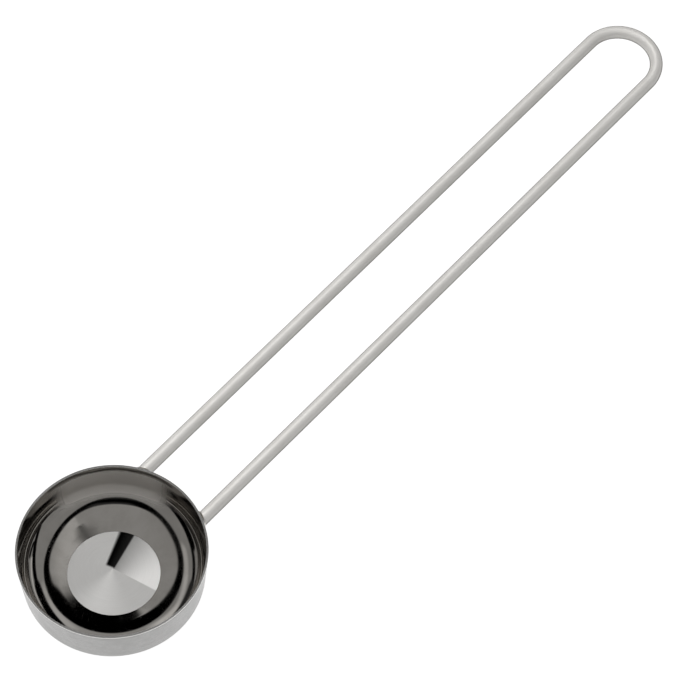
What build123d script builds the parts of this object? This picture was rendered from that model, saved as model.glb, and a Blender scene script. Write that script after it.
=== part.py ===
"""Measuring spoon: a round steel bowl with a hairpin wire handle welded under its rim.

Frame: origin at the centre of the bowl's underside, +Z up through the mouth,
+X along the handle towards the bend. Lengths are in millimetres.
"""

import os
from math import atan, cos, degrees, radians, sin, tan

from build123d import *

os.makedirs("parts", exist_ok=True)

# Bowl
rim_diameter = 44.0
bowl_height = 13.2
wall_thickness = 0.55
base_thickness = 1.5
wall_draft_degrees = 4.5
outer_corner_radius = 2.2
rim_edge_radius = 0.2

# Inside corner: an ellipse from the floor to the wall, this many times as high as it is wide
corner_flatness = 0.5
floor_ledge_width = 0.3

# Brushed disc on the bowl's floor, turned a little deeper than the floor round it
floor_disc_diameter = 21.4
floor_disc_depth = 0.1

# Handle wire
wire_diameter = 3.2
leg_spacing = 18.3
handle_reach = 183.2
wire_below_rim = 0.45

# Weld beads
weld_leg = 0.5
weld_height = 0.45
weld_edge_radius = 0.3
weld_below_rim = 0.2

# One overrun for every cut and for ends that are trimmed later
overrun = 5.0

rim_radius = rim_diameter / 2
draft_slope = tan(radians(wall_draft_degrees))
wire_radius = wire_diameter / 2
leg_offset = leg_spacing / 2
wire_height = bowl_height - wire_below_rim - wire_radius
outer_foot_radius = rim_radius - bowl_height * draft_slope
floor_height = base_thickness
inner_rim_radius = rim_radius - wall_thickness
inner_foot_radius = inner_rim_radius - (bowl_height - floor_height) * draft_slope
floor_disc_radius = floor_disc_diameter / 2
disc_height = floor_height - floor_disc_depth

corner_start_radius = floor_disc_radius + floor_ledge_width
corner_sweep = atan(1 / (draft_slope * corner_flatness))
corner_reach = sin(corner_sweep) - draft_slope * corner_flatness * (1 - cos(corner_sweep))
corner_width = (inner_foot_radius - corner_start_radius) / corner_reach
corner_height = corner_flatness * corner_width


def bowl_outside(growth, top):
    """Solid body inside the bowl's outer surface, grown sideways, from the base up to a height."""
    with BuildPart() as body:
        with BuildSketch(Plane.XZ):
            with BuildLine():
                Polyline(
                    (0, 0),
                    (outer_foot_radius + growth, 0),
                    (outer_foot_radius + growth + top * draft_slope, top),
                    (0, top),
                    close=True,
                )
            make_face()
        revolve(axis=Axis.Z)
    return body.part


# Bowl: one turned section, with a small outside corner and a wide inside one
with BuildPart() as bowl:
    with BuildSketch(Plane.XZ) as section:
        with BuildLine():
            inner_corner = EllipticalCenterArc(
                center=(corner_start_radius, floor_height + corner_height),
                x_radius=corner_width,
                y_radius=corner_height,
                start_angle=270,
                arc_size=degrees(corner_sweep),
            )
            Polyline(
                inner_corner @ 1,
                (inner_rim_radius, bowl_height),
                (rim_radius, bowl_height),
                (outer_foot_radius, 0),
                (0, 0),
                (0, disc_height),
                (floor_disc_radius, disc_height),
                (floor_disc_radius, floor_height),
                inner_corner @ 0,
            )
        make_face()
        outer_corner = section.vertices().sort_by_distance((outer_foot_radius, 0))[0]
        fillet(outer_corner, outer_corner_radius)
        rim_corners = section.vertices().sort_by_distance((rim_radius, bowl_height))[:2]
        fillet(rim_corners, rim_edge_radius)
    revolve(axis=Axis.Z)

bowl.part.label = "bowl"
export_step(bowl.part, "parts/bowl.step")

# Handle: one wire, bent into a hairpin, its two ends cut to the bowl's outer wall
with BuildPart() as handle_wire:
    with BuildLine() as route:
        left_leg = Line((0, leg_offset, wire_height), (handle_reach, leg_offset, wire_height))
        bend = ThreePointArc(
            left_leg @ 1,
            (handle_reach + leg_offset, 0, wire_height),
            (handle_reach, -leg_offset, wire_height),
        )
        Line(bend @ 1, (0, -leg_offset, wire_height))
    with BuildSketch(Plane(origin=left_leg @ 0, z_dir=left_leg % 0)):
        Circle(wire_radius)
    sweep()
    add(bowl_outside(0, bowl_height), mode=Mode.SUBTRACT)

handle_wire.part.label = "handle_wire"
export_step(handle_wire.part, "parts/handle_wire.step")

# Weld beads: a low collar round each wire end, lying on the bowl's outer wall
for side, side_name in ((1, "left"), (-1, "right")):
    with BuildPart() as weld:
        with BuildSketch(Plane.YZ):
            with Locations((side * leg_offset, wire_height)):
                Circle(wire_radius + weld_leg)
        extrude(amount=rim_radius + overrun)
        add(bowl_outside(weld_height, bowl_height - weld_below_rim), mode=Mode.INTERSECT)
        add(bowl_outside(0, bowl_height), mode=Mode.SUBTRACT)
        with BuildSketch(Plane.YZ):
            with Locations((side * leg_offset, wire_height)):
                Circle(wire_radius)
        extrude(amount=rim_radius + overrun, mode=Mode.SUBTRACT)
        toe = weld.faces().sort_by(Axis.X)[-1].outer_wire()
        fillet(toe.edges(), weld_edge_radius)
    weld.part.label = f"weld_{side_name}"
    export_step(weld.part, f"parts/weld_{side_name}.step")
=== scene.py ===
"""Studio scene of a steel measuring spoon: a polished bowl with a hairpin wire handle.

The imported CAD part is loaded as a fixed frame, in metres. The bowl and the handle
wire are turned and swept anew at a finer pitch, because their polished surfaces
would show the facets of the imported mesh; the weld beads stay as packed.
"""

from __future__ import annotations

import logging
import math
from dataclasses import dataclass
from enum import Enum

import bpy
from mathutils import Matrix, Vector

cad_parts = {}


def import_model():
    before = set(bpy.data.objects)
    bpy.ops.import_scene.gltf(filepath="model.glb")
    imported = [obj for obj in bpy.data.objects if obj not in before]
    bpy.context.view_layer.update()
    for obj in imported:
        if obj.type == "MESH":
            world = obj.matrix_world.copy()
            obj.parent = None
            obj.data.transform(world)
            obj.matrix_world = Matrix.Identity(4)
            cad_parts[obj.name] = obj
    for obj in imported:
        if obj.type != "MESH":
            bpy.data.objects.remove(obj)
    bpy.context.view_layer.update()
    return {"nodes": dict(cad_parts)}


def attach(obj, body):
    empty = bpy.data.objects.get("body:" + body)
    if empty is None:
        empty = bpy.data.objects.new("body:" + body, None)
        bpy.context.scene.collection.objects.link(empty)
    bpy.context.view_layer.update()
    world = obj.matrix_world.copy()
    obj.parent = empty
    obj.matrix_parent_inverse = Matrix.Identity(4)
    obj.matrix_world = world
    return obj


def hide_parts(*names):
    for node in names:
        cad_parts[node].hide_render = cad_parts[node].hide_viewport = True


LOG = logging.getLogger("measuring_spoon")
MM = 0.001
BODY = "root"
SHARP_ANGLE = math.radians(40.0)

Node = bpy.types.Node
Piece = bpy.types.Object
Socket = bpy.types.NodeSocket
Tree = bpy.types.NodeTree
Value = Socket | float | tuple
Recipe = dict[str, Value]
Pair = tuple[float, float]
Section = list[Pair]


class Finish(Enum):
    """Names of the finishes, as their materials are called."""

    POLISHED = "polished_bowl_steel"
    TURNED = "turned_disc_steel"
    SATIN = "satin_wall_steel"
    RIM = "ground_rim_steel"
    DRAWN = "drawn_wire_steel"
    WELD = "weld_steel"


class Zone(Enum):
    """Parts of the bowl's surface, as the numbers of its material slots."""

    INSIDE = 0
    DISC = 1
    RIM = 2
    OUTSIDE = 3


# ---------------------------------------------------------------- shader helpers


class Graph:
    """A node tree with short calls for the nodes that the finishes use."""

    def __init__(self, tree: Tree) -> None:
        """Keeps the material, world or group tree to add nodes to."""
        self.tree = tree

    def add(self, kind: str, **settings: object) -> Node:
        """Adds a node.

        Args:
            kind: the node's Blender type name.
            settings: values for the node's own properties.

        Returns:
            The new node.
        """
        node = self.tree.nodes.new(kind)
        for name, value in settings.items():
            setattr(node, name, value)
        return node

    def feed(self, socket: Socket, value: Value) -> None:
        """Links a socket to an input, or writes a plain value into it.

        Args:
            socket: the input.
            value: another node's output, or the value itself.
        """
        if isinstance(value, Socket):
            self.tree.links.new(value, socket)
        else:
            socket.default_value = value

    def fill(self, node: Node, *values: Value, **named: Value) -> Node:
        """Feeds several inputs of a node.

        Args:
            node: the node.
            values: what its first inputs get, in order.
            named: what other inputs get, by name.

        Returns:
            The node.
        """
        for socket, value in zip(node.inputs, values):
            self.feed(socket, value)
        for name, value in named.items():
            self.feed(node.inputs[name], value)
        return node

    def math(self, operation: str, *values: Value, clamp: bool = False) -> Socket:
        """Gives a Math node's result, kept between 0 and 1 if it is clamped."""
        node = self.add("ShaderNodeMath", operation=operation, use_clamp=clamp)
        return self.fill(node, *values).outputs[0]

    def plus(self, first: Value, second: Value) -> Socket:
        """Adds two numbers."""
        return self.math("ADD", first, second)

    def times(self, first: Value, second: Value) -> Socket:
        """Multiplies two numbers."""
        return self.math("MULTIPLY", first, second)

    def vector(self, operation: str, *values: Value, result: str = "Vector", **named: Value) -> Socket:
        """Gives a Vector Math node's result, which is its output Vector or Value."""
        node = self.add("ShaderNodeVectorMath", operation=operation)
        return self.fill(node, *values, **named).outputs[result]

    def scaled(self, vector: Socket, factor: Value) -> Socket:
        """Multiplies a vector by a number."""
        return self.vector("SCALE", vector, Scale=factor)

    def parts(self, vector: Socket) -> tuple[Socket, ...]:
        """Splits a vector into its x, y and z."""
        return tuple(self.fill(self.add("ShaderNodeSeparateXYZ"), vector).outputs)

    def joined(self, x: Value, y: Value, z: Value) -> Socket:
        """Joins three numbers into a vector."""
        return self.fill(self.add("ShaderNodeCombineXYZ"), x, y, z).outputs[0]

    def outward(self, x: Socket, y: Socket) -> Socket:
        """Gives the level direction from the Z axis to a place."""
        return self.vector("NORMALIZE", self.joined(x, y, 0.0))

    def towards(self, way: Socket, bearing: float) -> Socket:
        """Compares a level direction with a bearing from +X: 1 along it, -1 the other way."""
        return self.vector("DOT_PRODUCT", way, (math.cos(bearing), math.sin(bearing), 0.0), result="Value")

    def span(
        self,
        value: Socket,
        low: Value,
        high: Value,
        to_low: float = 0.0,
        to_high: float = 1.0,
        kind: str = "SMOOTHSTEP",
    ) -> Socket:
        """Maps a range of a value to another range, held at its ends and eased unless LINEAR."""
        node = self.add("ShaderNodeMapRange", interpolation_type=kind, clamp=True)
        return self.fill(node, value, low, high, to_low, to_high).outputs["Result"]

    def window(self, angle: Socket, limits: Pair, rise: Pair, fall: Pair) -> Socket:
        """Finds a sector of bearings, 1 inside, that fades in at its first limit and out at its last."""
        opens = self.span(angle, limits[0] + rise[0], limits[0] + rise[1])
        return self.times(opens, self.span(angle, limits[1] + fall[0], limits[1] + fall[1], 1.0, 0.0))

    def noise(self, place: Socket, scale: Value, detail: float = 2.0, rough: float = 0.5) -> Socket:
        """Gives a Noise texture of so many waves to the metre and so many octaves, from 0 to 1."""
        node = self.add("ShaderNodeTexNoise")
        return self.fill(node, Vector=place, Scale=scale, Detail=detail, Roughness=rough).outputs["Fac"]

    def mix(self, kind: str, share: Value, first: Value, second: Value) -> Socket:
        """Mixes two values.

        Args:
            kind: type of their sockets, VALUE or RGBA.
            share: how much of the second one, from 0 to 1.
            first: the first value.
            second: the second value.

        Returns:
            The mixed value.
        """
        node = self.add("ShaderNodeMix", data_type="FLOAT" if kind == "VALUE" else kind)
        self.feed(node.inputs["Factor"], share)
        pair = [socket for socket in node.inputs if socket.type == kind][-2:]
        self.feed(pair[0], first)
        self.feed(pair[1], second)
        return next(socket for socket in node.outputs if socket.type == kind)

    def blend(self, share: Value, first: Value, second: Value) -> Socket:
        """Mixes two numbers, share 0 being the first and 1 the second."""
        return self.mix("VALUE", share, first, second)

    def tint(self, share: Value, first: Value, second: Value) -> Socket:
        """Mixes two colours, share 0 being the first and 1 the second."""
        return self.mix("RGBA", share, first, second)

    def layered(self, first: Socket, second: Socket, share: float) -> Socket:
        """Adds up two patterns, of which the first has the given share."""
        return self.plus(self.times(first, share), self.times(second, 1.0 - share))

    def bump(self, height: Socket) -> Socket:
        """Gives the normal of a relief whose height is in metres."""
        return self.fill(self.add("ShaderNodeBump"), Strength=1.0, Distance=1.0, Height=height).outputs[0]

    def place(self) -> Socket:
        """Gives the place on the piece, in metres."""
        return self.add("ShaderNodeTexCoord").outputs["Object"]

    def group(self, tree: Tree, **values: Value) -> Socket:
        """Places a shared effect, its inputs given by name, and gives its one output."""
        return self.fill(self.add("ShaderNodeGroup", node_tree=tree), **values).outputs[0]


def new_group(
    name: str, vectors: tuple[str, ...], numbers: tuple[str, ...], result: str
) -> tuple[Graph, bpy.types.NodeOutputs, Socket]:
    """Starts a shader node group.

    Args:
        name: the group's name.
        vectors: names of its vector inputs.
        numbers: names of its number inputs.
        result: name of its output, a number.

    Returns:
        Its graph, its inputs by name, and the socket that its result goes to.
    """
    tree = bpy.data.node_groups.new(name, "ShaderNodeTree")
    for kind, items in (("NodeSocketVector", vectors), ("NodeSocketFloat", numbers)):
        for item in items:
            tree.interface.new_socket(item, in_out="INPUT", socket_type=kind)
    tree.interface.new_socket(result, in_out="OUTPUT", socket_type="NodeSocketFloat")
    graph = Graph(tree)
    return graph, graph.add("NodeGroupInput").outputs, graph.add("NodeGroupOutput").inputs[result]


@dataclass(frozen=True)
class SharedEffects:
    """Node groups that several finishes place, each with its own values."""

    scratches: Tree
    handling: Tree
    turning: Tree
    drawing: Tree

    @staticmethod
    def build() -> SharedEffects:
        """Builds every group once."""
        makers = SharedEffects.fine_scratches, SharedEffects.handling_marks
        makers += SharedEffects.turning_marks, SharedEffects.drawing_lines
        return SharedEffects(*(make() for make in makers))

    @staticmethod
    def fine_scratches() -> Tree:
        """Hairline scratches in three directions, broken up so that none runs right across.

        Returns:
            The group. Its output Scratches is 1 in a scratch and 0 beside it.
        """
        graph, start, end = new_group("fine_scratches", ("Vector",), ("Pitch", "Amount"), "Scratches")
        turns_and_shifts = ((0.35, 1.7), (1.45, 5.2), (2.5, 9.4))
        shortening, patch_scale = 0.045, 210.0
        line_edge, patch_edge = (0.69, 0.73), (0.5, 0.62)
        total: Socket | None = None
        for turn, shift in turns_and_shifts:
            turned = graph.add("ShaderNodeMapping")
            spot = {"Vector": start["Vector"], "Location": (shift, shift, shift)}
            graph.fill(turned, Rotation=(0.0, 0.0, turn), **spot)
            x, y, z = graph.parts(turned.outputs[0])
            stretched = graph.joined(graph.times(x, shortening), y, z)
            waves = graph.scaled(stretched, start["Pitch"])
            line = graph.span(graph.noise(waves, 1.0, detail=1.0), *line_edge)
            patch = graph.span(graph.noise(turned.outputs[0], patch_scale, detail=1.0), *patch_edge)
            piece = graph.times(line, patch)
            total = piece if total is None else graph.math("MAXIMUM", total, piece)
        graph.feed(end, graph.times(total, start["Amount"]))
        return graph.tree

    @staticmethod
    def handling_marks() -> Tree:
        """Soft smears and dull patches from fingers and drying.

        Returns:
            The group. Its output Haze goes from 0, clean, to 1, dull.
        """
        graph, start, end = new_group("handling_marks", ("Vector",), ("Scale",), "Haze")
        finer_by, wide_share, dull_edge = 4.3, 0.7, (0.4, 0.66)
        wide = graph.noise(start["Vector"], start["Scale"], detail=3.0, rough=0.6)
        finer = graph.noise(start["Vector"], graph.times(start["Scale"], finer_by), detail=4.0, rough=0.7)
        graph.feed(end, graph.span(graph.layered(wide, finer, wide_share), *dull_edge))
        return graph.tree

    @staticmethod
    def turning_marks() -> Tree:
        """Fine rings round an axis, as a lathe or a brush on a spinning piece leaves.

        Returns:
            The group. Lines goes from 0 to 1 across the rings.
        """
        graph, start, end = new_group("turning_marks", ("Vector",), ("Pitch",), "Lines")
        change_round, contrast = 1.3, (0.25, 0.75)
        x, y, z = graph.parts(start["Vector"])
        radius = graph.math("SQRT", graph.plus(graph.times(x, x), graph.times(y, y)))
        across = graph.times(graph.plus(radius, z), start["Pitch"])
        side_x, side_y, _ = graph.parts(graph.scaled(graph.outward(x, y), change_round))
        rings = graph.noise(graph.joined(side_x, side_y, across), 1.0, detail=3.0, rough=0.65)
        graph.feed(end, graph.span(rings, *contrast, kind="LINEAR"))
        return graph.tree

    @staticmethod
    def drawing_lines() -> Tree:
        """Lines along a wire, as a drawing die leaves.

        Returns:
            The group. Its input Vector has the place across the wire and, as z, the
            way along it. Lines goes from 0 to 1 across the lines.
        """
        graph, start, end = new_group("drawing_lines", ("Vector",), ("Pitch", "Stretch"), "Lines")
        contrast = (0.3, 0.7)
        x, y, z = graph.parts(start["Vector"])
        along = graph.math("DIVIDE", z, start["Stretch"])
        waves = graph.scaled(graph.joined(x, y, along), start["Pitch"])
        lines = graph.noise(waves, 1.0, detail=3.0, rough=0.6)
        graph.feed(end, graph.span(lines, *contrast, kind="LINEAR"))
        return graph.tree


# ---------------------------------------------------------------- finishes


@dataclass(frozen=True)
class Steel:
    """What every finish starts from: a metal material and the shared effects."""

    effects: SharedEffects

    def recipe(self, graph: Graph) -> Recipe:
        """Says what the shader's inputs get, by name; each finish has its own."""
        raise NotImplementedError

    def build(self, finish: Finish) -> bpy.types.Material:
        """Builds the material.

        Args:
            finish: the finish, whose name it gets.

        Returns:
            The material.
        """
        material = bpy.data.materials.new(finish.value)
        material.use_nodes = True
        graph = Graph(material.node_tree)
        shader = material.node_tree.nodes["Principled BSDF"]
        graph.fill(shader, **{"Metallic": 1.0, **self.recipe(graph)})
        return material


@dataclass(frozen=True)
class PolishedSteel(Steel):
    """The bowl's inside: buffed to a mirror, with hairlines and a little haze.

    The wall beside the handle is rubbed duller, and its colour there is a painted reflection,
    darker low down; two sides below the rim carry a painted dark reflection.
    """

    clean: tuple = (0.6, 0.575, 0.54, 1.0)
    dull: tuple = (0.54, 0.515, 0.48, 1.0)
    haze_scale: float = 95.0
    gloss_roughness: float = 0.045
    haze_roughness: float = 0.1
    scratch_pitch: float = 5200.0
    scratch_amount: float = 0.5
    scratch_roughness: float = 0.3
    scratch_height: float = -0.0006 * MM
    ring_pitch: float = 3600.0
    ring_height: float = 0.00006 * MM
    ripple_height: float = 0.012 * MM
    ripple_scale: float = 170.0
    # the rubbed wall's colours are painted reflection: brighter above, darker low down
    rubbed: tuple = (0.8, 0.765, 0.72, 1.0)
    rub_low_painted_reflection: tuple = (0.48, 0.46, 0.43, 1.0)
    rubbed_roughness: float = 0.35
    rubbed_metal: float = 0.3
    rub_and_painted_reflection_bearing: float = math.radians(44.2)
    rub_and_painted_reflection_height: Pair = (3.0 * MM, 4.4 * MM)
    rub_painted_reflection_fade: Pair = (3.0 * MM, 8.5 * MM)
    rub_and_painted_reflection_top: Pair = (11.0 * MM, 11.8 * MM)
    rub_and_painted_reflection_reach: Pair = (0.72, 0.9)
    # painted dark reflection on two sides below the rim
    painted_dark_reflection: tuple = (0.2, 0.19, 0.18, 1.0)
    painted_dark_reflection_height: Pair = (5.5 * MM, 8.0 * MM)
    painted_dark_reflection_bearing: float = math.radians(129.2)
    painted_dark_reflection_reach: Pair = (0.8, 0.95)

    def rub_and_painted_reflection_mask(self, graph: Graph, way: Socket, z: Socket) -> Socket:
        """Finds the wall beside the handle, rubbed rougher and with a painted reflection colour, by its
        direction and height: 1 there, 0 elsewhere.
        """
        high = graph.math("SUBTRACT", graph.span(z, *self.rub_and_painted_reflection_height), graph.span(z, *self.rub_and_painted_reflection_top))
        return graph.times(graph.span(graph.towards(way, self.rub_and_painted_reflection_bearing), *self.rub_and_painted_reflection_reach), high)

    def painted_dark_reflection_mask(self, graph: Graph, way: Socket, z: Socket) -> Socket:
        """Finds the two sides with a painted dark reflection, by their direction and height: 1 there, 0
        elsewhere.
        """
        sides = graph.math("ABSOLUTE", graph.towards(way, self.painted_dark_reflection_bearing))
        return graph.times(graph.span(sides, *self.painted_dark_reflection_reach), graph.span(z, *self.painted_dark_reflection_height))

    def recipe(self, graph: Graph) -> Recipe:
        """Says what the shader's inputs get.

        Args:
            graph: the material's graph.

        Returns:
            A value for each input, by name.
        """
        place = graph.place()
        x, y, z = graph.parts(place)
        way = graph.outward(x, y)
        haze = graph.group(self.effects.handling, Vector=place, Scale=self.haze_scale)
        marks = {"Pitch": self.scratch_pitch, "Amount": self.scratch_amount}
        scratch = graph.group(self.effects.scratches, Vector=place, **marks)
        rings = graph.group(self.effects.turning, Vector=place, Pitch=self.ring_pitch)
        rub = self.rub_and_painted_reflection_mask(graph, way, z)
        steel = graph.tint(haze, self.clean, self.dull)
        # painted dark reflection darkens the two sides
        steel = graph.tint(self.painted_dark_reflection_mask(graph, way, z), steel, self.painted_dark_reflection)
        # painted reflection on the rubbed wall: darker low down, brighter above
        worn = graph.tint(graph.span(z, *self.rub_painted_reflection_fade), self.rub_low_painted_reflection, self.rubbed)
        rough = graph.blend(haze, self.gloss_roughness, self.haze_roughness)
        rough = graph.blend(rub, rough, self.rubbed_roughness)
        ripple = graph.times(graph.noise(place, self.ripple_scale, detail=1.0), self.ripple_height)
        height = graph.plus(ripple, graph.times(rings, self.ring_height))
        return {
            "Base Color": graph.tint(rub, steel, worn),
            "Metallic": graph.blend(rub, 1.0, self.rubbed_metal),
            "Roughness": graph.blend(scratch, rough, self.scratch_roughness),
            "Normal": graph.bump(graph.plus(height, graph.times(scratch, self.scratch_height))),
        }


@dataclass(frozen=True)
class TurnedSteel(Steel):
    """The disc on the bowl's floor: brushed in rings round a point beside its centre.

    Its colour holds a painted reflection: a narrow band painted dark, and the
    sector beside it painted bright, fading towards the band. The sectors are in
    degrees round the brushing's centre, the band and the fading in degrees round
    the band's origin.
    """

    bright: tuple = (0.95, 0.94, 0.92, 1.0)
    dark: tuple = (0.88, 0.87, 0.85, 1.0)
    rough_limits: Pair = (0.51, 0.41)
    anisotropy: float = 0.9
    metal: float = 0.5
    centre: Pair = (0.76 * MM, 1.02 * MM)
    cone_slope: float = -0.07
    fine_pitch: float = 9000.0
    wide_pitch: float = 2600.0
    fine_share: float = 0.6
    groove_height: float = 0.0004 * MM
    # painted reflection: levels of the bright sector, the front sector and the dark band
    bright_sector: Pair = (-78.0, 25.0)
    sector_rise: Pair = (-1.0, 1.5)
    sector_fall: Pair = (0.0, 5.0)
    fade_swing: Pair = (24.0, -14.0)
    front_sector: tuple[float, float, float] = (-20.0, 22.0, 75.0)
    band_origin: Pair = (-13.81 * MM, -3.87 * MM)
    band: Pair = (14.4, 22.7)
    band_rise: Pair = (-0.6, 0.9)
    band_fall: Pair = (-1.3, 1.3)
    band_start: float = 14.2 * MM
    band_fade: float = 0.7 * MM
    rest_level: float = 0.63
    front_level: float = 0.8
    fade_level: float = 0.27
    band_levels: Pair = (0.06, 0.0)

    def bearing(self, graph: Graph, place: Socket, origin: Pair = (0.0, 0.0), turned: float = 1.0) -> Socket:
        """Gives a place's bearing round a point, in degrees from +X, or from -X if turned is -1."""
        x, y, _ = graph.parts(graph.vector("SUBTRACT", place, (*origin, 0.0)))
        return graph.math("DEGREES", graph.math("ARCTAN2", graph.times(y, turned), graph.times(x, turned)))

    def painted_dark_band_mask(self, graph: Graph, place: Socket, swing: Socket) -> Socket:
        """Finds the painted dark band.

        Args:
            graph: the material's graph.
            place: flat place from the brushing's centre.
            swing: bearing from the band's origin.

        Returns:
            1 in the band and 0 outside.
        """
        away = graph.vector("DISTANCE", place, (*self.band_origin, 0.0), result="Value")
        inside = graph.window(swing, self.band, self.band_rise, self.band_fall)
        return graph.times(inside, graph.span(away, self.band_start, self.band_start + self.band_fade))

    def sectors(self, graph: Graph, place: Socket, swing: Socket) -> Socket:
        """Works out the painted reflection level of each sector of the disc.

        Args:
            graph: the material's graph.
            place: flat place from the brushing's centre.
            swing: bearing from the band's origin.

        Returns:
            The level, where 1 is the brightest.
        """
        first, middle, last = self.front_sector
        front = self.bearing(graph, place, turned=-1.0)
        rise = graph.span(front, first, middle, self.rest_level, self.front_level)
        fall = graph.span(front, middle, last, 0.0, self.front_level - self.rest_level)
        around = self.bearing(graph, place)
        inside = graph.window(around, self.bright_sector, self.sector_rise, self.sector_fall)
        fade = graph.span(swing, *self.fade_swing, self.fade_level, 1.0)
        return graph.blend(inside, graph.math("SUBTRACT", rise, fall), fade)

    def recipe(self, graph: Graph) -> Recipe:
        """Says what the shader's inputs get.

        Args:
            graph: the material's graph.

        Returns:
            A value for each input, by name.
        """
        x, y, _ = graph.parts(graph.vector("SUBTRACT", graph.place(), (*self.centre, 0.0)))
        flat = graph.joined(x, y, 0.0)
        swing = self.bearing(graph, flat, self.band_origin)
        band = self.painted_dark_band_mask(graph, flat, swing)
        fine = graph.group(self.effects.turning, Vector=flat, Pitch=self.fine_pitch)
        wide = graph.group(self.effects.turning, Vector=flat, Pitch=self.wide_pitch)
        lines = graph.layered(fine, wide, self.fine_share)
        # painted dark band over the painted sector levels
        painted_band_level = graph.span(swing, *self.band, *self.band_levels)
        level = graph.blend(band, self.sectors(graph, flat, swing), painted_band_level)
        cone = graph.times(graph.vector("LENGTH", flat, result="Value"), self.cone_slope)
        return {
            "Base Color": graph.scaled(graph.tint(lines, self.dark, self.bright), level),
            "Metallic": graph.blend(band, self.metal, 1.0),
            "Roughness": graph.span(lines, 0.0, 1.0, *self.rough_limits),
            "Anisotropic": self.anisotropy,
            "Tangent": graph.vector("NORMALIZE", flat),
            "Normal": graph.bump(graph.plus(cone, graph.times(lines, self.groove_height))),
        }


@dataclass(frozen=True)
class SatinSteel(Steel):
    """The bowl's outside and underside: fine rings from a brush, and handling marks."""

    clean: tuple = (0.33, 0.327, 0.323, 1.0)
    dull: tuple = (0.305, 0.302, 0.297, 1.0)
    rough_limits: Pair = (0.23, 0.32)
    haze_scale: float = 120.0
    haze_roughness: float = 0.05
    ring_pitch: float = 5200.0
    ring_height: float = 0.0007 * MM
    scratch_pitch: float = 4200.0
    scratch_amount: float = 0.6
    scratch_roughness: float = 0.16
    scratch_height: float = -0.001 * MM

    def recipe(self, graph: Graph) -> Recipe:
        """Says what the shader's inputs get.

        Args:
            graph: the material's graph.

        Returns:
            A value for each input, by name.
        """
        place = graph.place()
        rings = graph.group(self.effects.turning, Vector=place, Pitch=self.ring_pitch)
        haze = graph.group(self.effects.handling, Vector=place, Scale=self.haze_scale)
        marks = {"Pitch": self.scratch_pitch, "Amount": self.scratch_amount}
        scratch = graph.group(self.effects.scratches, Vector=place, **marks)
        rough = graph.span(rings, 0.0, 1.0, *self.rough_limits)
        rough = graph.plus(rough, graph.times(haze, self.haze_roughness))
        height = graph.plus(graph.times(rings, self.ring_height), graph.times(scratch, self.scratch_height))
        return {
            "Base Color": graph.tint(haze, self.clean, self.dull),
            "Roughness": graph.blend(scratch, rough, self.scratch_roughness),
            "Normal": graph.bump(height),
        }


@dataclass(frozen=True)
class RimSteel(Steel):
    """The rim: ground smooth, brighter where hands and drawers have rubbed it."""

    ground: tuple = (0.8, 0.79, 0.77, 1.0)
    rubbed: tuple = (0.92, 0.91, 0.89, 1.0)
    rough_limits: Pair = (0.17, 0.28)
    haze_scale: float = 160.0
    ring_pitch: float = 7000.0
    ring_height: float = 0.0005 * MM

    def recipe(self, graph: Graph) -> Recipe:
        """Says what the shader's inputs get.

        Args:
            graph: the material's graph.

        Returns:
            A value for each input, by name.
        """
        place = graph.place()
        rings = graph.group(self.effects.turning, Vector=place, Pitch=self.ring_pitch)
        haze = graph.group(self.effects.handling, Vector=place, Scale=self.haze_scale)
        return {
            "Base Color": graph.tint(haze, self.rubbed, self.ground),
            "Roughness": graph.span(rings, 0.0, 1.0, *self.rough_limits),
            "Normal": graph.bump(graph.times(rings, self.ring_height)),
        }


@dataclass(frozen=True)
class DrawnSteel(Steel):
    """The handle: wire with the lines of its drawing die and a satin rub over them.

    Its colour and gloss are painted darker where the surface turns away from the eye, a painted shade along
    its edges.
    """

    bright: tuple = (0.635, 0.622, 0.6, 1.0)
    worn: tuple = (0.6, 0.585, 0.562, 1.0)
    # painted shade colour for the edges that turn away from the eye
    edge: tuple = (0.27, 0.265, 0.252, 1.0)
    painted_edge_shade_facing: Pair = (0.42, 0.8)
    metal: float = 0.35
    gloss: float = 0.12
    rough_limits: Pair = (0.31, 0.42)
    haze_scale: float = 85.0
    haze_roughness: float = 0.05
    fine_pitch: float = 9000.0
    fine_stretch: float = 90.0
    wide_pitch: float = 2600.0
    wide_stretch: float = 60.0
    fine_share: float = 0.55
    line_height: float = 0.0014 * MM
    run_attribute: str = "wire_run"

    def recipe(self, graph: Graph) -> Recipe:
        """Says what the shader's inputs get.

        Args:
            graph: the material's graph.

        Returns:
            A value for each input, by name.
        """
        drawing = self.effects.drawing
        run = graph.add("ShaderNodeAttribute", attribute_name=self.run_attribute).outputs["Vector"]
        fine = graph.group(drawing, Vector=run, Pitch=self.fine_pitch, Stretch=self.fine_stretch)
        wide = graph.group(drawing, Vector=run, Pitch=self.wide_pitch, Stretch=self.wide_stretch)
        lines = graph.layered(fine, wide, self.fine_share)
        haze = graph.group(self.effects.handling, Vector=run, Scale=self.haze_scale)
        facing = graph.add("ShaderNodeLayerWeight").outputs["Facing"]
        steel = graph.tint(haze, self.bright, self.worn)
        rough = graph.span(lines, 0.0, 1.0, *self.rough_limits)
        return {
            # painted shade: darker towards the edges facing away
            "Base Color": graph.tint(graph.span(facing, *self.painted_edge_shade_facing), steel, self.edge),
            "Metallic": self.metal,
            "Specular IOR Level": self.gloss,
            "Specular Tint": self.edge,
            "Roughness": graph.plus(rough, graph.times(haze, self.haze_roughness)),
            "Normal": graph.bump(graph.times(lines, self.line_height)),
        }


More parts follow.
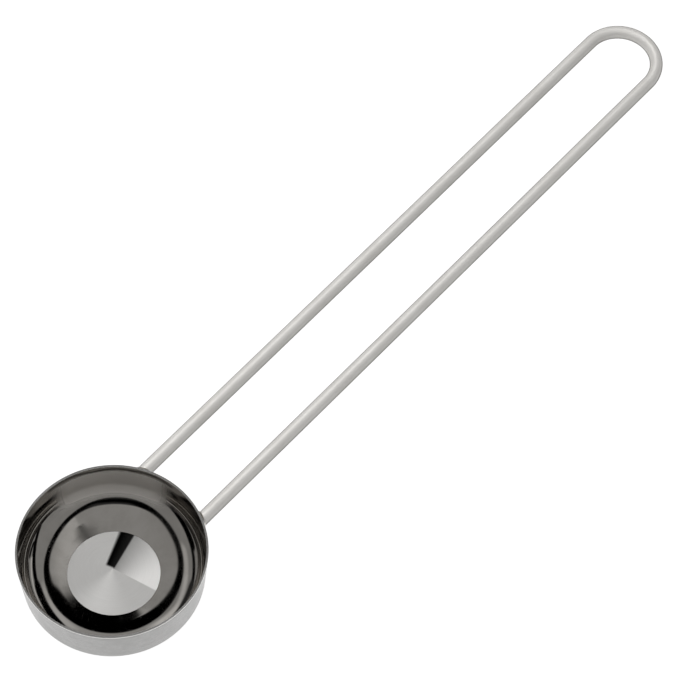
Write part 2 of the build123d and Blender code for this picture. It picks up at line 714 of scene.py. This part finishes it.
@dataclass(frozen=True)
class WeldSteel(Steel):
    """The weld beads: fused metal, a little rough, with a faint straw tint in patches."""

    fused: tuple = (0.62, 0.61, 0.59, 1.0)
    straw: tuple = (0.56, 0.51, 0.43, 1.0)
    heat_scale: float = 900.0
    heat_edge: Pair = (0.45, 0.62)
    grain_scale: float = 4200.0
    grain_edge: Pair = (0.3, 0.7)
    rough_limits: Pair = (0.24, 0.4)
    ripple_scale: float = 2400.0
    ripple_height: float = 0.03 * MM

    def recipe(self, graph: Graph) -> Recipe:
        """Says what the shader's inputs get.

        Args:
            graph: the material's graph.

        Returns:
            A value for each input, by name.
        """
        place = graph.place()
        heat = graph.span(graph.noise(place, self.heat_scale), *self.heat_edge)
        grain = graph.noise(place, self.grain_scale, detail=3.0, rough=0.6)
        ripple = graph.noise(place, self.ripple_scale)
        return {
            "Base Color": graph.tint(heat, self.fused, self.straw),
            "Roughness": graph.span(grain, *self.grain_edge, *self.rough_limits),
            "Normal": graph.bump(graph.times(ripple, self.ripple_height)),
        }


# ---------------------------------------------------------------- mesh helpers


def deselect_all() -> None:
    """Deselects every object, the loaded CAD nodes among them."""
    bpy.ops.object.select_all(action="DESELECT")


def finish_piece(piece: Piece, name: str) -> None:
    """Names a piece, puts its place into its mesh and smooths all but its sharp edges.

    Args:
        piece: the piece, which is the active object.
        name: its name.
    """
    piece.name = name
    piece.data.name = name
    bpy.ops.object.transform_apply(location=True, rotation=True, scale=True)
    bpy.ops.object.shade_smooth_by_angle(angle=SHARP_ANGLE)


def arc(centre: Pair, half: Pair, first: float, last: float, steps: int) -> Section:
    """Gives points of an elliptical arc, both ends included, by angles from straight down outwards."""
    angles = (first + (last - first) * k / steps for k in range(steps + 1))
    return [(centre[0] + half[0] * math.sin(a), centre[1] - half[1] * math.cos(a)) for a in angles]


def straight(start: Pair, end: Pair, steps: int) -> Section:
    """Gives points of a straight line, its end included but not its start."""
    shares = (k / steps for k in range(1, steps + 1))
    return [(start[0] + (end[0] - start[0]) * s, start[1] + (end[1] - start[1]) * s) for s in shares]


def grow_ring(section: Section) -> None:
    """Extrudes the selected ring from point to point of a section round the Z axis.

    Args:
        section: radius and height of each ring; the first is the selected one.
    """
    for (radius, height), (next_radius, next_height) in zip(section, section[1:]):
        step = (0.0, 0.0, next_height - height)
        bpy.ops.mesh.extrude_region_move(TRANSFORM_OT_translate={"value": step})
        factor = next_radius / radius
        bpy.ops.transform.resize(value=(factor, factor, 1.0), center_override=(0.0, 0.0, 0.0))


# ---------------------------------------------------------------- the bowl


@dataclass
class Bowl:
    """The spoon's bowl: one turned shell with a brushed disc on its floor."""

    effects: SharedEffects
    rim_radius: float = 22.0 * MM
    height: float = 13.2 * MM
    wall: float = 0.55 * MM
    base: float = 1.5 * MM
    draft: float = math.radians(4.5)
    outer_corner: float = 2.2 * MM
    corner_flatness: float = 0.5
    rim_edge: float = 0.2 * MM
    disc_radius: float = 10.7 * MM
    disc_depth: float = 0.1 * MM
    disc_edge: float = 0.04 * MM
    ledge: float = 0.3 * MM
    lip_drop: float = 0.07 * MM
    lip_slope: float = math.radians(4.0)
    hub: float = 0.4 * MM
    level_normal: float = 0.01
    segments: int = 256
    disc_steps: int = 12
    corner_steps: int = 60
    wall_steps: int = 8
    rim_steps: int = 8
    side_steps: int = 6
    foot_steps: int = 32

    def inside_section(self) -> Section:
        """Radius and height of the rings from the disc's middle up to the rim.

        Returns:
            The rings.
        """
        slope, edge, rim = math.tan(self.draft), self.disc_edge, self.rim_edge
        disc, lip, top = self.base - self.disc_depth, self.base - self.lip_drop, self.height - rim
        section = [(self.hub, disc), *straight((0.0, disc), (self.disc_radius, disc), self.disc_steps)[:-1]]
        section += [(self.disc_radius - edge, disc), (self.disc_radius, disc + edge)]
        section += [(self.disc_radius, lip - edge), (self.disc_radius + edge, lip)]
        start = self.disc_radius + self.ledge
        foot = self.rim_radius - self.wall - (self.height - self.base) * slope
        sweep = math.atan(1 / (slope * self.corner_flatness))
        reach = math.sin(sweep) - slope * self.corner_flatness * (1 - math.cos(sweep))
        width = (foot - start) / reach
        depth = self.corner_flatness * width
        first = math.atan(math.tan(self.lip_slope) / self.corner_flatness)
        section += arc((start, self.base + depth), (width, depth), first, sweep, self.corner_steps)
        low_radius, low = section[-1]
        upper = low_radius + (top - low) * slope
        section += straight((low_radius, low), (upper, top), self.wall_steps)
        section += arc((upper + rim, top), (rim, rim), -math.pi / 2, -math.pi, self.rim_steps)[1:]
        return section

    def outside_section(self) -> Section:
        """Radius and height of the rings from the rim down to the underside's middle.

        Returns:
            The rings.
        """
        slope, rim, corner = math.tan(self.draft), self.rim_edge, self.outer_corner
        centre = (self.rim_radius - rim * slope - rim, self.height - rim)
        section = arc(centre, (rim, rim), math.pi, math.pi / 2, self.rim_steps)
        low = corner - corner * math.sin(self.draft)
        high_radius, high = section[-1]
        lower = high_radius - (high - low) * slope
        section += straight((high_radius, high), (lower, low), self.side_steps)
        foot = self.rim_radius - self.height * slope
        centre = (foot + corner * slope - corner / math.cos(self.draft), corner)
        section += arc(centre, (corner, corner), math.pi / 2 - self.draft, 0.0, self.foot_steps)[1:]
        section += straight((section[-1][0], 0.0), (0.0, 0.0), self.side_steps)[:-1]
        return [*section, (self.hub, 0.0)]

    def build(self) -> Piece:
        """Turns the shell.

        Returns:
            The bowl.
        """
        deselect_all()
        section = self.inside_section() + self.outside_section()
        bpy.ops.mesh.primitive_circle_add(
            vertices=self.segments,
            radius=section[0][0],
            fill_type="TRIFAN",
            location=(0.0, 0.0, section[0][1]),
            enter_editmode=True,
        )
        bpy.ops.mesh.select_mode(type="EDGE")
        bpy.ops.mesh.select_all(action="DESELECT")
        bpy.ops.mesh.select_non_manifold()
        grow_ring(section)
        bpy.ops.mesh.extrude_region_move(TRANSFORM_OT_translate={"value": (0.0, 0.0, 0.0)})
        bpy.ops.mesh.merge(type="CENTER")
        bpy.ops.mesh.select_all(action="SELECT")
        bpy.ops.mesh.normals_make_consistent(inside=False)
        bpy.ops.object.mode_set(mode="OBJECT")
        bowl = bpy.context.object
        finish_piece(bowl, "bowl_shell")
        self.dress(bowl)
        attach(bowl, BODY)
        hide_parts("bowl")
        return bowl

    def zone(self, face: bpy.types.MeshPolygon) -> Zone:
        """Says which finish a face has, by its place and normal.

        Args:
            face: the face.

        Returns:
            Its zone.
        """
        radius = math.hypot(face.center.x, face.center.y)
        outward = face.normal.x * face.center.x + face.normal.y * face.center.y > 0
        if face.center.z > self.height - self.rim_edge:
            return Zone.RIM
        if face.normal.z < -self.level_normal or (outward and radius > self.disc_radius + self.ledge):
            return Zone.OUTSIDE
        if radius < self.disc_radius and face.center.z < self.base:
            return Zone.DISC
        return Zone.INSIDE

    def dress(self, bowl: Piece) -> None:
        """Gives each zone of the bowl its finish.

        Args:
            bowl: the bowl.
        """
        finishes = {
            Zone.INSIDE: PolishedSteel(self.effects).build(Finish.POLISHED),
            Zone.DISC: TurnedSteel(self.effects).build(Finish.TURNED),
            Zone.RIM: RimSteel(self.effects).build(Finish.RIM),
            Zone.OUTSIDE: SatinSteel(self.effects).build(Finish.SATIN),
        }
        for zone in Zone:
            bowl.data.materials.append(finishes[zone])
        for face in bowl.data.polygons:
            face.material_index = self.zone(face).value


# ---------------------------------------------------------------- the handle


@dataclass
class Handle:
    """The hairpin wire, and the weld beads that hold it under the rim."""

    effects: SharedEffects
    bowl: Bowl
    radius: float = 1.6 * MM
    leg_offset: float = 9.15 * MM
    reach: float = 183.2 * MM
    height: float = 11.15 * MM
    start_share: float = 0.7
    overrun: float = 4 * MM
    merge_distance: float = 0.001 * MM
    sides: int = 64
    leg_steps: int = 24
    bend_steps: int = 56

    def bowl_body(self) -> Piece:
        """Makes the solid inside the bowl's outer wall, to trim the wire's ends with.

        Returns:
            The body.
        """
        slope = math.tan(self.bowl.draft)
        low, high = -self.overrun, self.bowl.height + self.overrun
        deselect_all()
        bpy.ops.mesh.primitive_cone_add(
            vertices=self.bowl.segments,
            radius1=self.bowl.rim_radius - (self.bowl.height - low) * slope,
            radius2=self.bowl.rim_radius + self.overrun * slope,
            depth=high - low,
            location=(0.0, 0.0, (low + high) / 2),
        )
        return bpy.context.object

    def run_leg(self, step: float) -> None:
        """Extrudes the wire's selected end along a leg, by one step after another."""
        for _ in range(self.leg_steps):
            bpy.ops.mesh.extrude_region_move(TRANSFORM_OT_translate={"value": (step, 0.0, 0.0)})

    def sweep_wire(self) -> Piece:
        """Extrudes the wire along one leg, round the bend and back along the other.

        Returns:
            The wire, with its ends still inside the bowl.
        """
        start = self.bowl.rim_radius * self.start_share
        step = (self.reach - start) / self.leg_steps
        deselect_all()
        bpy.ops.mesh.primitive_circle_add(
            vertices=self.sides,
            radius=self.radius,
            fill_type="NGON",
            location=(start, self.leg_offset, self.height),
            rotation=(0.0, math.pi / 2, 0.0),
            enter_editmode=True,
        )
        bpy.ops.mesh.select_mode(type="FACE")
        bpy.ops.mesh.select_all(action="SELECT")
        self.run_leg(step)
        bpy.ops.mesh.spin(
            steps=self.bend_steps,
            angle=math.pi,
            center=(self.reach, 0.0, self.height),
            axis=(0.0, 0.0, 1.0),
        )
        self.run_leg(-step)
        bpy.ops.mesh.select_all(action="SELECT")
        bpy.ops.mesh.remove_doubles(threshold=self.merge_distance)
        bpy.ops.mesh.normals_make_consistent(inside=False)
        bpy.ops.object.mode_set(mode="OBJECT")
        return bpy.context.object

    def mark_run(self, wire: Piece) -> None:
        """Stores, at each point, the place across the wire and the way along it.

        Args:
            wire: the wire.
        """
        run = wire.data.attributes.new(DrawnSteel.run_attribute, "FLOAT_VECTOR", "POINT")
        bend_length = math.pi * self.leg_offset
        for point, place in zip(wire.data.vertices, run.data):
            x, y, z = point.co
            if x > self.reach:
                across = math.hypot(x - self.reach, y) - self.leg_offset
                along = self.reach + self.leg_offset * math.atan2(x - self.reach, y)
            elif y > 0:
                across, along = y - self.leg_offset, x
            else:
                across, along = -y - self.leg_offset, 2 * self.reach + bend_length - x
            place.vector = (across, z - self.height, along)

    def build(self) -> Piece:
        """Makes the wire, trims its ends to the bowl and dresses it.

        Returns:
            The wire.
        """
        wire = self.sweep_wire()
        body = self.bowl_body()
        bpy.context.view_layer.objects.active = wire
        trim = wire.modifiers.new("trim", "BOOLEAN")
        trim.operation = "DIFFERENCE"
        trim.solver = "EXACT"
        trim.object = body
        deselect_all()
        wire.select_set(True)
        bpy.ops.object.modifier_apply(modifier=trim.name)
        bpy.data.objects.remove(body)
        finish_piece(wire, "hairpin_wire")
        self.mark_run(wire)
        wire.data.materials.clear()
        wire.data.materials.append(DrawnSteel(self.effects).build(Finish.DRAWN))
        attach(wire, BODY)
        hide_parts("handle_wire")
        return wire

    def dress_welds(self, nodes: dict[str, Piece]) -> None:
        """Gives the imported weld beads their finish.

        Args:
            nodes: the CAD nodes by name.
        """
        steel = WeldSteel(self.effects).build(Finish.WELD)
        for name in ("weld_left", "weld_right"):
            nodes[name].data.materials.clear()
            nodes[name].data.materials.append(steel)
            LOG.info("%s keeps its packed mesh", name)


# ---------------------------------------------------------------- the studio


@dataclass(frozen=True)
class DomeBar:
    """A straight panel or gap in the studio's dome, with round ends and soft edges.

    Places are degrees from straight overhead: first to the right of the picture,
    then away from the camera.
    """

    name: str
    start: Pair
    end: Pair
    radius: float
    level: float
    soft: float


@dataclass(frozen=True)
class DomeOval:
    """A squarish round panel or gap in the dome, in the same degrees as the bars."""

    name: str
    centre: Pair
    half: Pair
    level: float
    soft: float
    power: float


@dataclass(frozen=True)
class Lamp:
    """A soft square lamp that faces the bowl.

    Its bearing is in degrees from the side opposite the camera, positive to the
    left, and its height in degrees above the floor. A level of 1 is white.
    """

    name: str
    bearing: float
    height: float
    size: float
    level: float
    mirrored: bool


@dataclass(frozen=True)
class Camera:
    """The photograph's camera, as found from the outlines of the bowl and the handle."""

    elevation: float = 1.0454509
    azimuth: float = -2.4580662
    roll: float = 0.0432590
    distance: float = 0.7642081
    focal: float = 3372.469
    bowl_x: float = 111.8163
    bowl_y: float = 550.0669
    frame: float = 700.0
    sensor: float = 36.0
    clip: Pair = (0.01, 50.0)

    def build(self, rim_height: float) -> None:
        """Makes the camera.

        Args:
            rim_height: height of the bowl's rim, which the other sizes are measured from.
        """
        flat, lift = math.cos(self.elevation), math.sin(self.elevation)
        towards = Vector((flat * math.cos(self.azimuth), flat * math.sin(self.azimuth), lift))
        forward = -towards
        right = forward.cross(Vector((0.0, 0.0, 1.0))).normalized()
        up = right.cross(forward)
        right_turned = right * math.cos(self.roll) + up * math.sin(self.roll)
        up_turned = up * math.cos(self.roll) - right * math.sin(self.roll)
        across = (self.bowl_x - self.frame / 2) / self.focal * self.distance
        down = (self.bowl_y - self.frame / 2) / self.focal * self.distance
        aim = forward * self.distance + right_turned * across - up_turned * down
        data = bpy.data.cameras.new("camera")
        data.sensor_width = self.sensor
        data.lens = self.focal / self.frame * self.sensor
        data.clip_start, data.clip_end = self.clip
        camera = bpy.data.objects.new("camera", data)
        bpy.context.scene.collection.objects.link(camera)
        turn = Matrix((right_turned, up_turned, towards)).transposed().to_4x4()
        camera.matrix_world = Matrix.Translation(Vector((0.0, 0.0, rim_height)) - aim) @ turn
        bpy.context.scene.camera = camera


@dataclass
class Studio:
    """A pale floor under a soft dome with dark gaps between its panels, and the camera."""

    bowl: Piece
    wire: Piece
    rim_height: float
    camera: Camera = Camera()
    floor_size: float = 12.0
    floor_white: tuple = (0.86, 0.86, 0.86, 1.0)
    floor_glow_colour: tuple = (1.0, 1.0, 1.0, 1.0)
    floor_glow: float = 0.88
    floor_roughness: float = 0.9
    floor_gloss: float = 0.1
    table_level: float = 1.0
    table_edge: Pair = (79.0, 86.0)
    wall_level: float = 0.34
    near_level: float = 0.28
    near_fade: Pair = (-45.0, -5.0)
    softbox_levels: Pair = (0.62, 0.38)
    softbox_line: tuple[float, float, float] = (0.8, 0.6, -12.2)
    softbox_soft: float = 0.7
    softbox_fade: float = 22.0
    strips: tuple[DomeBar, ...] = (
        DomeBar("left_strip", (-39.0, 14.0), (-37.0, 50.0), 4.0, 0.62, 3.0),
        DomeBar("far_left_strip", (-34.0, 54.0), (-24.0, 60.0), 7.0, 0.8, 4.0),
        DomeBar("far_strip", (-16.0, 60.0), (12.0, 60.0), 8.0, 0.42, 5.0),
        DomeBar("far_right_strip", (14.0, 58.0), (24.0, 40.0), 5.0, 0.6, 4.0),
    )
    gaps: tuple[DomeBar, ...] = (
        DomeBar("right_gap_high", (26.0, 64.0), (36.0, 45.0), 8.5, 0.0, 1.5),
        DomeBar("right_gap", (37.0, 43.0), (55.0, 19.0), 4.5, 0.0, 1.5),
        DomeBar("right_gap_low", (55.0, 19.0), (76.0, -8.0), 4.5, 0.0, 1.5),
        DomeBar("right_line", (40.0, 62.0), (58.0, 26.0), 2.2, 0.7, 1.5),
        DomeBar("right_outer_gap", (50.0, 64.0), (69.0, 36.0), 4.5, 0.0, 1.5),
        DomeBar("left_gap", (-68.0, -44.0), (-64.0, 5.0), 9.0, 0.0, 1.5),
        DomeBar("left_gap_high", (-60.0, 5.0), (-55.0, 42.0), 4.5, 0.0, 2.0),
        DomeBar("left_gap_far", (-52.0, 42.0), (-46.0, 58.0), 7.0, 0.03, 3.0),
        DomeBar("right_far_gap", (69.0, 12.0), (68.0, 24.0), 4.0, 0.0, 2.0),
        DomeBar("near_line_left", (-47.0, -40.0), (-16.0, -52.0), 1.5, 0.02, 1.0),
        DomeBar("near_line", (-16.0, -52.0), (18.0, -51.0), 1.5, 0.02, 1.0),
        DomeBar("near_line_right", (18.0, -51.0), (50.0, -29.0), 1.5, 0.02, 1.0),
        DomeBar("camera_side_left", (-66.0, -40.0), (-30.0, -70.0), 5.0, 0.04, 2.5),
        DomeBar("camera_side", (-30.0, -72.0), (34.0, -72.0), 5.5, 0.04, 2.5),
        DomeBar("camera_side_right", (34.0, -70.0), (66.0, -40.0), 5.0, 0.04, 2.5),
    )
    ring: DomeOval = DomeOval("dark_ring", (-3.5, 9.0), (31.5, 45.0), 0.0, 0.03, 2.1)
    cap: DomeOval = DomeOval("overhead_panel", (-3.0, 8.5), (23.5, 25.0), 0.4, 0.05, 2.7)
    shade: DomeBar = DomeBar("near_shade", (-8.0, -15.0), (9.0, -15.0), 5.0, 0.05, 4.0)
    flags: tuple[DomeBar, ...] = (
        DomeBar("disc_flag", (-3.6, 31.2), (-1.0, 42.0), 4.6, 0.0, 0.5),
        DomeBar("panel_notch", (1.0, 37.0), (16.0, 38.0), 7.2, 0.0, 1.2),
        DomeBar("faint_shade", (-1.5, 22.5), (7.5, 10.2), 1.2, 0.12, 0.9),
    )
    lamp_distance: float = 1.0
    overhead_fill: Lamp = Lamp("overhead_fill", 40.0, 75.0, 0.9, 0.35, False)
    disc_fill: Lamp = Lamp("disc_fill", -10.0, 78.0, 0.9, 4.6, False)
    wire_key: Lamp = Lamp("wire_key", 8.0, 55.0, 0.5, 1.75, True)
    wire_fill: Lamp = Lamp("wire_fill", 110.0, 76.0, 0.9, 4.5, False)

    def bar_group(self) -> Tree:
        """Builds the shared mask of a bar.

        Returns:
            The group, whose output Mask is 1 inside the bar.
        """
        graph, start, end = new_group("dome_bar", ("Place", "Start", "Run"), ("Inner", "Outer"), "Mask")
        run = start["Run"]
        beside = graph.vector("SUBTRACT", start["Place"], start["Start"])
        along = graph.vector("DOT_PRODUCT", beside, run, result="Value")
        square = graph.vector("DOT_PRODUCT", run, run, result="Value")
        nearest = graph.scaled(run, graph.math("DIVIDE", along, square, clamp=True))
        away = graph.vector("DISTANCE", beside, nearest, result="Value")
        graph.feed(end, graph.span(away, start["Inner"], start["Outer"], 1.0, 0.0))
        return graph.tree

    def oval_group(self) -> Tree:
        """Builds the shared mask of an oval.

        Returns:
            The group, whose output Mask is 1 inside the oval.
        """
        numbers = ("Power", "Inner", "Outer")
        graph, start, end = new_group("dome_oval", ("Place", "Centre", "Half"), numbers, "Mask")
        power = start["Power"]
        beside = graph.vector("SUBTRACT", start["Place"], start["Centre"])
        x, y, _ = graph.parts(graph.vector("ABSOLUTE", graph.vector("DIVIDE", beside, start["Half"])))
        total = graph.plus(graph.math("POWER", x, power), graph.math("POWER", y, power))
        away = graph.math("POWER", total, graph.math("DIVIDE", 1.0, power))
        graph.feed(end, graph.span(away, start["Inner"], start["Outer"], 1.0, 0.0))
        return graph.tree

    def add_bars(self, graph: Graph, group: Tree, place: Socket, level: Value, bars: tuple) -> Socket:
        """Lays bars over the dome's light.

        Args:
            graph: the world's graph.
            group: the bars' mask.
            place: where a direction lies in the dome.
            level: the light so far.
            bars: the bars, the last on top.

        Returns:
            The light with the bars.
        """
        for bar in bars:
            run = (bar.end[0] - bar.start[0], bar.end[1] - bar.start[1], 0.0)
            edge = {"Inner": bar.radius - bar.soft, "Outer": bar.radius + bar.soft}
            mask = graph.group(group, Place=place, Start=(*bar.start, 0.0), Run=run, **edge)
            mask.node.label = bar.name
            level = graph.blend(mask, level, bar.level)
        return level

    def oval_mask(self, graph: Graph, group: Tree, place: Socket, oval: DomeOval) -> Socket:
        """Places one oval.

        Args:
            graph: the world's graph.
            group: the ovals' mask.
            place: where a direction lies in the dome.
            oval: the oval.

        Returns:
            1 inside it and 0 outside.
        """
        form = {"Centre": (*oval.centre, 0.0), "Half": (*oval.half, 1.0), "Power": oval.power}
        mask = graph.group(group, Place=place, Inner=1.0 - oval.soft, Outer=1.0 + oval.soft, **form)
        mask.node.label = oval.name
        return mask

    def softbox(self, graph: Graph, place: Socket) -> Socket:
        """Works out the light of the overhead panel and of the softbox in its far right part.

        Args:
            graph: the world's graph.
            place: where a direction lies in the dome.

        Returns:
            The light.
        """
        across, away, _ = graph.parts(place)
        tilt_x, tilt_y, shift = self.softbox_line
        past = graph.plus(graph.plus(graph.times(across, tilt_x), graph.times(away, tilt_y)), shift)
        fading = graph.span(past, 0.0, self.softbox_fade, *self.softbox_levels)
        return graph.blend(graph.span(past, -self.softbox_soft, self.softbox_soft), self.cap.level, fading)

    def build_dome(self) -> None:
        """Builds the world: pale horizon, grey walls, dark ring, overhead panel and softbox."""
        world = bpy.data.worlds.new("studio_dome")
        world.use_nodes = True
        world.node_tree.nodes.clear()
        graph = Graph(world.node_tree)
        x, y, z = graph.parts(graph.add("ShaderNodeTexCoord").outputs["Generated"])
        off = graph.math("DEGREES", graph.math("ARCCOSINE", z))
        far = self.camera.azimuth + math.pi
        ahead = graph.plus(graph.times(x, math.cos(far)), graph.times(y, math.sin(far)))
        right = graph.math("SUBTRACT", graph.times(x, math.sin(far)), graph.times(y, math.cos(far)))
        place = graph.scaled(graph.outward(right, ahead), off)
        _, away, _ = graph.parts(place)
        level = graph.span(away, *self.near_fade, self.near_level, self.wall_level)
        level = graph.blend(graph.span(off, *self.table_edge), level, self.table_level)
        bars, ovals = self.bar_group(), self.oval_group()
        level = self.add_bars(graph, bars, place, level, self.strips + self.gaps)
        dark = self.add_bars(graph, bars, place, self.ring.level, (self.shade,))
        level = graph.blend(self.oval_mask(graph, ovals, place, self.ring), level, dark)
        overhead = self.add_bars(graph, bars, place, self.softbox(graph, place), self.flags)
        level = graph.blend(self.oval_mask(graph, ovals, place, self.cap), level, overhead)
        background = graph.fill(graph.add("ShaderNodeBackground"), Strength=level)
        graph.fill(graph.add("ShaderNodeOutputWorld"), Surface=background.outputs[0])
        bpy.context.scene.world = world

    def build_floor(self) -> None:
        """Makes the floor, white to the camera and in reflections, with the spoon's faint shadow."""
        deselect_all()
        bpy.ops.mesh.primitive_plane_add(size=self.floor_size, location=(0.0, 0.0, 0.0))
        floor = bpy.context.object
        floor.name = "floor"
        material = bpy.data.materials.new("pale_floor")
        material.use_nodes = True
        graph = Graph(material.node_tree)
        path = graph.add("ShaderNodeLightPath").outputs
        seen = graph.math("MAXIMUM", path["Is Camera Ray"], path["Is Glossy Ray"])
        seen = graph.math("MAXIMUM", seen, path["Is Transmission Ray"])
        surface = {
            "Base Color": self.floor_white,
            "Roughness": self.floor_roughness,
            "Specular IOR Level": self.floor_gloss,
            "Emission Color": self.floor_glow_colour,
            "Emission Strength": graph.times(seen, self.floor_glow),
        }
        graph.fill(material.node_tree.nodes["Principled BSDF"], **surface)
        floor.data.materials.append(material)

    def hang(self, lamp: Lamp, only: Piece | None = None) -> None:
        """Hangs a lamp.

        Args:
            lamp: the lamp.
            only: the one piece that it lights, if it doesn't light everything.
        """
        data = bpy.data.lights.new(lamp.name, "AREA")
        data.shape = "RECTANGLE"
        data.size, data.size_y = lamp.size, lamp.size
        data.energy = lamp.level * math.pi * lamp.size * lamp.size
        hung = bpy.data.objects.new(lamp.name, data)
        bpy.context.scene.collection.objects.link(hung)
        turn = self.camera.azimuth + math.pi + math.radians(lamp.bearing)
        lift = math.radians(lamp.height)
        way = Vector((math.cos(lift) * math.cos(turn), math.cos(lift) * math.sin(turn), math.sin(lift)))
        hung.location = way * self.lamp_distance
        hung.rotation_euler = way.to_track_quat("Z", "Y").to_euler()
        hung.visible_glossy = lamp.mirrored
        hung.visible_camera = False
        if only is not None:
            lit = bpy.data.collections.new(f"lit_by_{lamp.name}")
            lit.objects.link(only)
            hung.light_linking.receiver_collection = lit

    def build(self) -> None:
        """Builds the dome, the floor, the lamps and the camera."""
        self.build_dome()
        self.build_floor()
        self.hang(self.overhead_fill)
        self.hang(self.disc_fill, self.bowl)
        self.hang(self.wire_key, self.wire)
        self.hang(self.wire_fill, self.wire)
        self.camera.build(self.rim_height)
        bpy.context.scene.view_settings.view_transform = "Standard"


def main() -> None:
    """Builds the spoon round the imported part, then the studio."""
    logging.basicConfig(level=logging.INFO, format="%(name)s: %(message)s")
    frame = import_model()
    effects = SharedEffects.build()
    bowl = Bowl(effects)
    shell = bowl.build()
    LOG.info("%s has %d faces", shell.name, len(shell.data.polygons))
    handle = Handle(effects, bowl)
    wire = handle.build()
    LOG.info("%s has %d faces", wire.name, len(wire.data.polygons))
    handle.dress_welds(frame["nodes"])
    Studio(shell, wire, bowl.height).build()
    LOG.info("sizes written")


if __name__ == "__main__":
    main()
